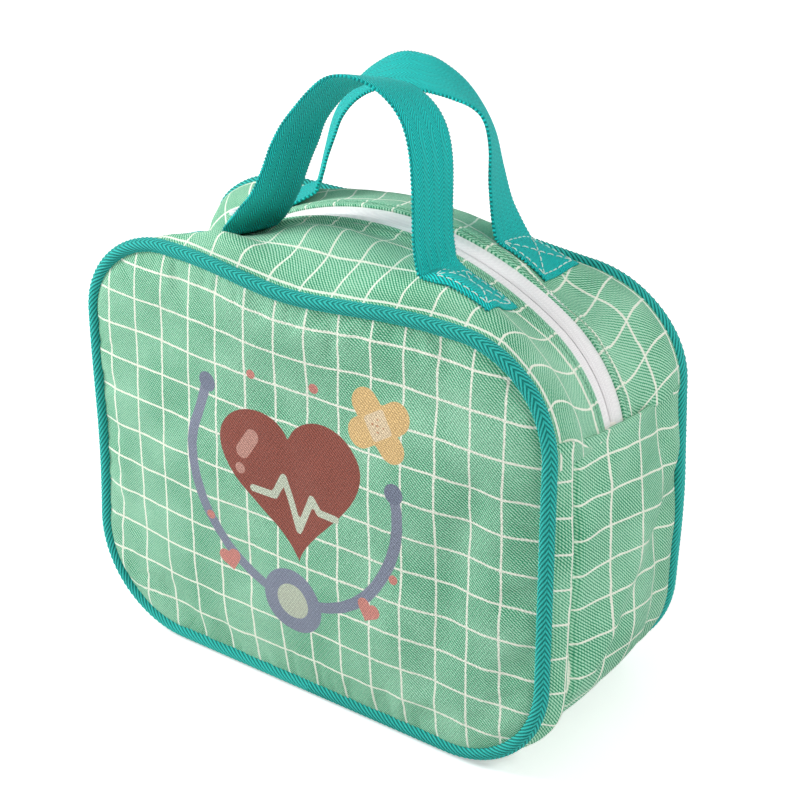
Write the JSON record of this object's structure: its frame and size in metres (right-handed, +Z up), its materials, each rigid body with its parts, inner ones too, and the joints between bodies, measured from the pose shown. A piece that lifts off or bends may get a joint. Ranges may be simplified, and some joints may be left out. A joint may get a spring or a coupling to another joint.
{
  "type": "toy doctor case",
  "caption": "Soft padded canvas case with piped edges, a curved zip opening across the top and a pair of webbing handles.",
  "frame": {"origin": "centre of the case on the surface it stands on, halfway across its width and depth", "axes": "+X to the right seen from the front, +Y from the front panel to the back panel, +Z up"},
  "size_m": [0.244, 0.1104, 0.2842],
  "materials": {
    "canvas": "woven canvas with a printed cream grid",
    "piping_tape": "herringbone tape",
    "binding_tape": "woven tape",
    "piping_cord": "twisted filler cord",
    "webbing": "herringbone webbing",
    "foam": "soft foam wadding",
    "lining": "plain weave",
    "board": "matte sheet",
    "zip_tape": "woven tape",
    "zip_coil": "nylon coil",
    "slider_metal": "white enamel",
    "thread": "sewing thread"
  },
  "bodies": {
    "case": {"gusset": "canvas", "gusset_foam": "foam", "gusset_lining": "lining", "base_board": "board", "front_panel_lower": "canvas", "front_foam_lower": "foam", "front_lining_lower": "lining", "front_piping_lower": "piping_tape", "front_cord_lower": "piping_cord", "front_binding_lower": "binding_tape", "back_panel_lower": "canvas", "back_foam_lower": "foam", "back_lining_lower": "lining", "back_piping_lower": "piping_tape", "back_cord_lower": "piping_cord", "back_binding_lower": "binding_tape"},
    "front_lip": {"front_panel_upper": "canvas", "front_foam_upper": "foam", "front_lining_upper": "lining", "front_piping_upper": "piping_tape", "front_cord_upper": "piping_cord", "front_binding_upper": "binding_tape", "front_strip": "canvas", "front_strip_foam": "foam", "front_strip_lining": "lining", "front_zip_tape": "zip_tape", "front_zip_coil": "zip_coil", "front_zip_stop": "zip_coil", "front_sewn_end_right": "webbing", "front_sewn_end_left": "webbing", "front_sewn_stitching": "thread", "front_edge_stitching": "thread"},
    "back_lip": {"back_panel_upper": "canvas", "back_foam_upper": "foam", "back_lining_upper": "lining", "back_piping_upper": "piping_tape", "back_cord_upper": "piping_cord", "back_binding_upper": "binding_tape", "back_strip": "canvas", "back_strip_foam": "foam", "back_strip_lining": "lining", "back_zip_tape": "zip_tape", "back_zip_coil": "zip_coil", "back_zip_stop": "zip_coil", "back_sewn_end_right": "webbing", "back_sewn_end_left": "webbing", "back_sewn_stitching": "thread", "back_edge_stitching": "thread"},
    "front_grip": {"front_handle": "webbing"},
    "back_grip": {"back_handle": "webbing"},
    "slider": {"slider_body": "slider_metal", "slider_bridge": "slider_metal"},
    "pull": {"pull_tab": "slider_metal"}
  },
  "joints": [
    {"name": "front_lip_opens", "type": "slide", "parent": "case", "child": "front_lip", "axis": [0, -1, 0], "range_m": [0, 0.03]},
    {"name": "back_lip_opens", "type": "slide", "parent": "case", "child": "back_lip", "axis": [0, 1, 0], "range_m": [0, 0.03]},
    {"name": "front_handle_folds", "type": "hinge", "parent": "front_lip", "child": "front_grip", "pos_m": [0, -0.026, 0.2203], "axis": [1, 0, 0], "range_deg": [-10, 90]},
    {"name": "back_handle_folds", "type": "hinge", "parent": "back_lip", "child": "back_grip", "pos_m": [0, 0.026, 0.2203], "axis": [-1, 0, 0], "range_deg": [-1, 99]},
    {"name": "slider_runs", "type": "hinge", "parent": "front_lip", "child": "slider", "pos_m": [0.012, 0, 0.05968], "axis": [0, 1, 0], "range_deg": [-21.7, 57.5]},
    {"name": "pull_tab_swings", "type": "hinge", "parent": "slider", "child": "pull", "pos_m": [-0.05842, 0, 0.1926], "axis": [0, 1, 0], "range_deg": [0, 150]}
  ]
}
